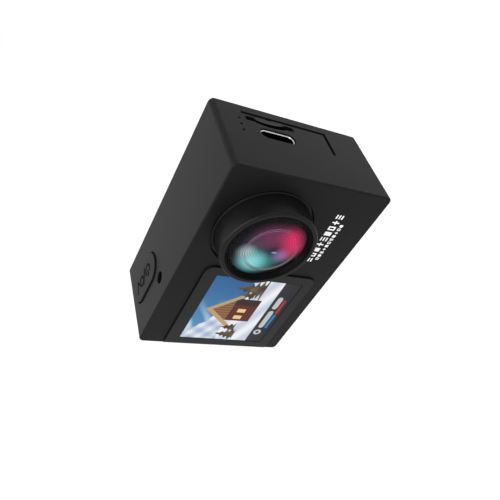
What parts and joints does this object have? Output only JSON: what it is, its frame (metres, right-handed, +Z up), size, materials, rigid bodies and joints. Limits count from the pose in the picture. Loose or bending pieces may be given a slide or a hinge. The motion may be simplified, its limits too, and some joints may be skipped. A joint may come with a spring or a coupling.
{
  "type": "action camera",
  "caption": "Compact action camera with a front display beside the lens, a rear touch display, side ports and a hinged battery door.",
  "frame": {"origin": "middle of the underside of the bounding box, on the surface that the camera stands on", "axes": "+X towards the side with the ports, +Y towards the rear display, +Z up towards the power button; the lens looks along -Y"},
  "size_m": [0.0594, 0.0294, 0.0415],
  "materials": {
    "shell": "fine moulded texture",
    "button_plastic": "fine moulded texture",
    "panel_plastic": "satin",
    "indicator": "gloss",
    "black_metal": "satin black",
    "lens_glass": "coated",
    "rear_glass": "polished",
    "display": "lit picture",
    "steel": "bright",
    "aluminium": "brushed",
    "brass": "plated",
    "rubber": "matte",
    "circuit_board": "solder mask",
    "chip": "matte",
    "inner_plastic": "matte",
    "battery_wrap": "satin film"
  },
  "bodies": {
    "camera_body": {"body_shell": "shell", "rear_cover": "shell", "front_panel": "panel_plastic", "status_light": "indicator", "lens_barrel": "black_metal", "lens_retaining_ring": "black_metal", "lens_tube": "black_metal", "cover_glass": "lens_glass", "front_lens_element": "lens_glass", "middle_lens_element": "lens_glass", "rear_lens_element": "lens_glass", "infrared_filter": "lens_glass", "rear_glass": "rear_glass", "front_display": "display", "rear_display": "display", "usb_socket": "steel", "card_socket": "steel", "shield_can": "steel", "power_switch": "steel", "mode_switch": "steel", "side_microphone": "steel", "door_hinge_pin": "steel", "board_screw_1": "steel", "board_screw_2": "steel", "cover_screw_1": "steel", "cover_screw_2": "steel", "cover_screw_3": "steel", "cover_screw_4": "steel", "sensor_screw_1": "steel", "sensor_screw_2": "steel", "heat_spreader": "aluminium", "battery_contacts": "brass", "lens_seal": "rubber", "rear_gasket": "rubber", "main_board": "circuit_board", "sensor_board": "circuit_board", "button_board": "circuit_board", "processor": "chip", "memory_chip": "chip", "image_sensor": "chip", "lens_holder": "inner_plastic", "board_connector": "inner_plastic", "usb_tongue": "inner_plastic", "battery_bay": "inner_plastic", "status_led": "inner_plastic", "speaker": "inner_plastic", "battery": "battery_wrap"},
    "power_button": {"power_button": "button_plastic"},
    "mode_button": {"mode_button": "button_plastic"},
    "battery_door": {"battery_door": "shell", "door_seal": "rubber"},
    "door_latch": {"door_latch": "inner_plastic"},
    "memory_card": {"memory_card": "chip"}
  },
  "joints": [
    {"name": "power_button_press", "type": "slide", "parent": "camera_body", "child": "power_button", "axis": [0, 0, -1], "range_m": [0, 0.0004], "stiffness_N_per_m": 3000},
    {"name": "mode_button_press", "type": "slide", "parent": "camera_body", "child": "mode_button", "axis": [1, 0, 0], "range_m": [0, 0.0003], "stiffness_N_per_m": 2500},
    {"name": "battery_door_hinge", "type": "hinge", "parent": "camera_body", "child": "battery_door", "pos_m": [-0.024, 0.0009, 0.001], "axis": [0, 1, 0], "range_deg": [0, 90]},
    {"name": "door_latch_slide", "type": "slide", "parent": "battery_door", "child": "door_latch", "axis": [1, 0, 0], "range_m": [0, 0.0012]},
    {"name": "memory_card_slide", "type": "slide", "parent": "camera_body", "child": "memory_card", "axis": [1, 0, 0], "range_m": [-0.0005, 0.006]}
  ]
}
